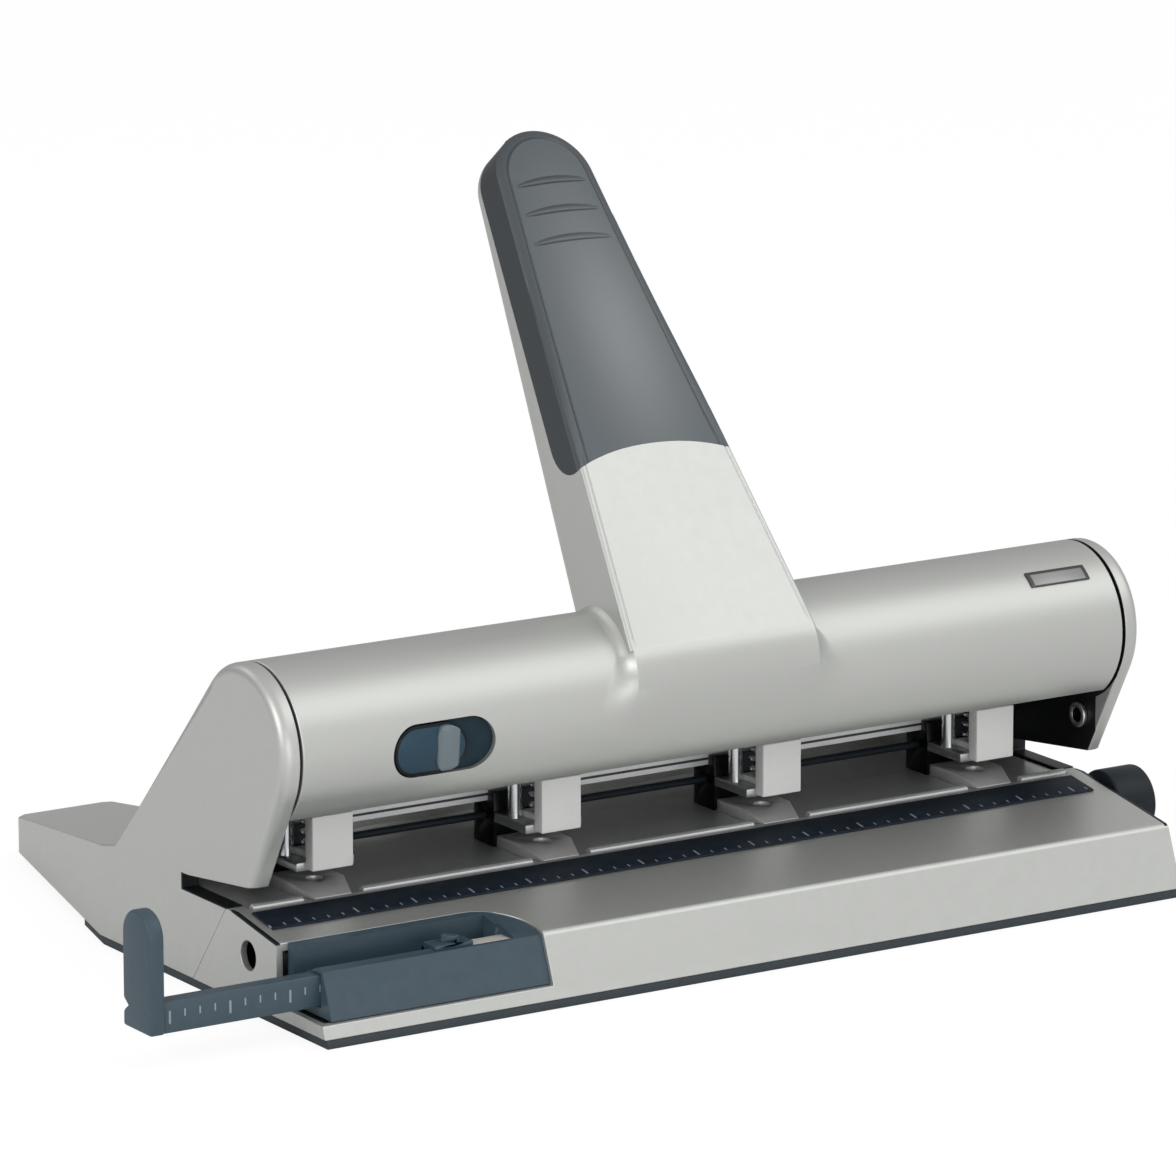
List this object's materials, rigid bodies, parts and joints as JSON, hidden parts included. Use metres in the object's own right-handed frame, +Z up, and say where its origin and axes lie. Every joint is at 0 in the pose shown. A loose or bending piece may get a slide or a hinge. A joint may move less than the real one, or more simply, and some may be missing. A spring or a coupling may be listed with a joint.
{
  "type": "four-hole punch",
  "caption": "Desk paper punch with a wide silver drum and long pull lever, a row of spring-return punch units, a pull-out paper guide and a chip drawer.",
  "frame": {"origin": "on the desk, under the middle of the base", "axes": "+X along the row of holes to the user's right, +Y to the rear, +Z up"},
  "size_m": [0.376, 0.241, 0.2368],
  "materials": {
    "silver_paint": "satin metallic paint",
    "grip_plastic": "fine matt texture",
    "slate_plastic": "matt",
    "mat_plastic": "matt",
    "navy_film": "smooth film",
    "zinc_steel": "bright zinc",
    "dark_steel": "satin",
    "bright_steel": "polished",
    "white_plastic": "smooth",
    "bronze": "plain",
    "rubber": "matt"
  },
  "bodies": {
    "frame": {"base_mat": "mat_plastic", "base_plate": "zinc_steel", "front_cover": "silver_paint", "left_side": "silver_paint", "right_side": "silver_paint", "rear_cover": "silver_paint", "rear_shield": "slate_plastic", "table_plate": "dark_steel", "bed_channel": "zinc_steel", "scale_strip": "navy_film", "stop_pins": "bright_steel", "tie_rail": "zinc_steel", "tie_rod": "bright_steel", "left_bush": "bronze", "right_bush": "bronze", "guide_housing": "slate_plastic", "brake_leaf": "zinc_steel", "leg_feet": "rubber", "side_rivets": "white_plastic", "base_screws": "zinc_steel", "bracket_screws": "zinc_steel", "bracket_1": "zinc_steel", "die_plate_1": "dark_steel", "guide_block_1": "white_plastic", "punch_spring_1": "bright_steel", "bracket_2": "zinc_steel", "die_plate_2": "dark_steel", "guide_block_2": "white_plastic", "punch_spring_2": "bright_steel", "bracket_3": "zinc_steel", "die_plate_3": "dark_steel", "guide_block_3": "white_plastic", "punch_spring_3": "bright_steel", "bracket_4": "zinc_steel", "die_plate_4": "dark_steel", "guide_block_4": "white_plastic", "punch_spring_4": "bright_steel"},
    "lever": {"lever_body": "silver_paint", "handle_grip": "grip_plastic", "lever_shaft": "bright_steel", "left_disc": "zinc_steel", "right_disc": "zinc_steel", "badge_plate": "bright_steel", "switch_tray": "slate_plastic", "cam_1": "dark_steel", "cam_2": "dark_steel", "cam_3": "dark_steel", "cam_4": "dark_steel"},
    "press": {"press_bar": "zinc_steel", "punch_pin_1": "bright_steel", "punch_pin_2": "bright_steel", "punch_pin_3": "bright_steel", "punch_pin_4": "bright_steel"},
    "lever_lock": {"switch_slide": "slate_plastic"},
    "guide": {"guide_bar": "slate_plastic", "guide_stop": "slate_plastic"},
    "guide_clamp": {"guide_lock": "slate_plastic"},
    "drawer": {"chip_drawer": "mat_plastic", "drawer_front": "slate_plastic"}
  },
  "joints": [
    {"name": "lever_pull", "type": "hinge", "parent": "frame", "child": "lever", "pos_m": [0, -0.024, 0.08], "axis": [1, 0, 0], "range_deg": [0, 58]},
    {"name": "press_stroke", "type": "slide", "parent": "frame", "child": "press", "axis": [0, 0, -1], "range_m": [0, 0.008], "deforming": ["punch_spring_1", "punch_spring_2", "punch_spring_3", "punch_spring_4"]},
    {"name": "lever_lock_slide", "type": "slide", "parent": "lever", "child": "lever_lock", "axis": [1, 0, 0], "range_m": [0, 0.009]},
    {"name": "guide_slide", "type": "slide", "parent": "frame", "child": "guide", "axis": [1, 0, 0], "range_m": [-0.01, 0.048]},
    {"name": "guide_clamp_slide", "type": "slide", "parent": "frame", "child": "guide_clamp", "axis": [1, 0, 0], "range_m": [0, 0.012]},
    {"name": "drawer_slide", "type": "slide", "parent": "frame", "child": "drawer", "axis": [1, 0, 0], "range_m": [0, 0.24]}
  ],
  "couplings": [
    {"joint": "press_stroke", "follows": "lever_pull", "m_per_rad": 0.0079028}
  ]
}
